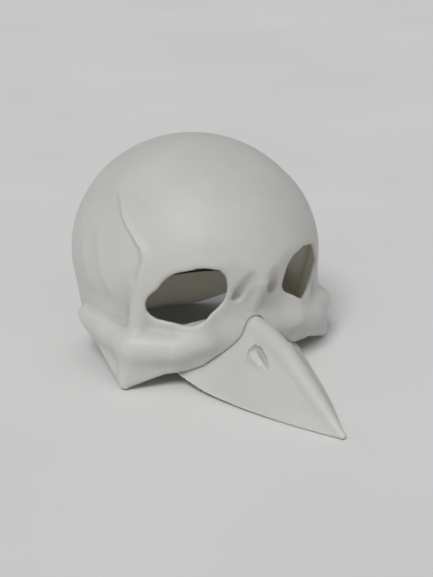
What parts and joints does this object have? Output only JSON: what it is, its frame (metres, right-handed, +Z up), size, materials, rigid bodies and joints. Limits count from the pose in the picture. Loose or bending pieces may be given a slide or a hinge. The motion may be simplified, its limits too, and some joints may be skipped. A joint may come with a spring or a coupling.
{
  "type": "bird skull mask",
  "caption": "Rigid bird-skull half mask: smooth domed cranium with open eye sockets and flared cheeks, a separate pointed upper beak, head pads and a swinging nape strap inside.",
  "frame": {"origin": "on the table plane that the cheek points and the rear rim stand on, under the centre of the dome", "axes": "the face and beak look along -Y, +X is towards the wearer's left, +Z is up"},
  "size_m": [0.2116, 0.3209, 0.1839],
  "materials": {
    "bone_cast": "satin",
    "pad_foam": "brushed",
    "hook_patch": "matte",
    "steel": "satin",
    "brass": "satin",
    "webbing": "woven"
  },
  "bodies": {
    "mask": {"cranium_shell": "bone_cast", "beak_shell": "bone_cast", "left_beak_screw": "steel", "right_beak_screw": "steel", "left_beak_washer": "steel", "right_beak_washer": "steel", "left_beak_insert": "brass", "right_beak_insert": "brass", "forehead_pad": "pad_foam", "crown_pad": "pad_foam", "left_temple_pad": "pad_foam", "right_temple_pad": "pad_foam", "occiput_pad": "pad_foam", "forehead_patch": "hook_patch", "crown_patch": "hook_patch", "left_temple_patch": "hook_patch", "right_temple_patch": "hook_patch", "occiput_patch": "hook_patch", "left_anchor_boss": "bone_cast", "right_anchor_boss": "bone_cast", "left_pivot_screw": "steel", "right_pivot_screw": "steel", "left_pivot_washer": "steel", "right_pivot_washer": "steel"},
    "strap": {"nape_strap": "webbing", "left_eyelet": "brass", "right_eyelet": "brass", "strap_keeper": "webbing"},
    "adjuster": {"adjuster_frame": "steel", "adjuster_bar": "steel"}
  },
  "joints": [
    {"name": "strap_swing", "type": "hinge", "parent": "mask", "child": "strap", "pos_m": [0, 0.01, 0.05], "axis": [1, 0, 0], "range_deg": [-12, 30]},
    {"name": "adjuster_slide", "type": "slide", "parent": "strap", "child": "adjuster", "axis": [1, 0, 0], "range_m": [-0.018, 0.018]}
  ]
}
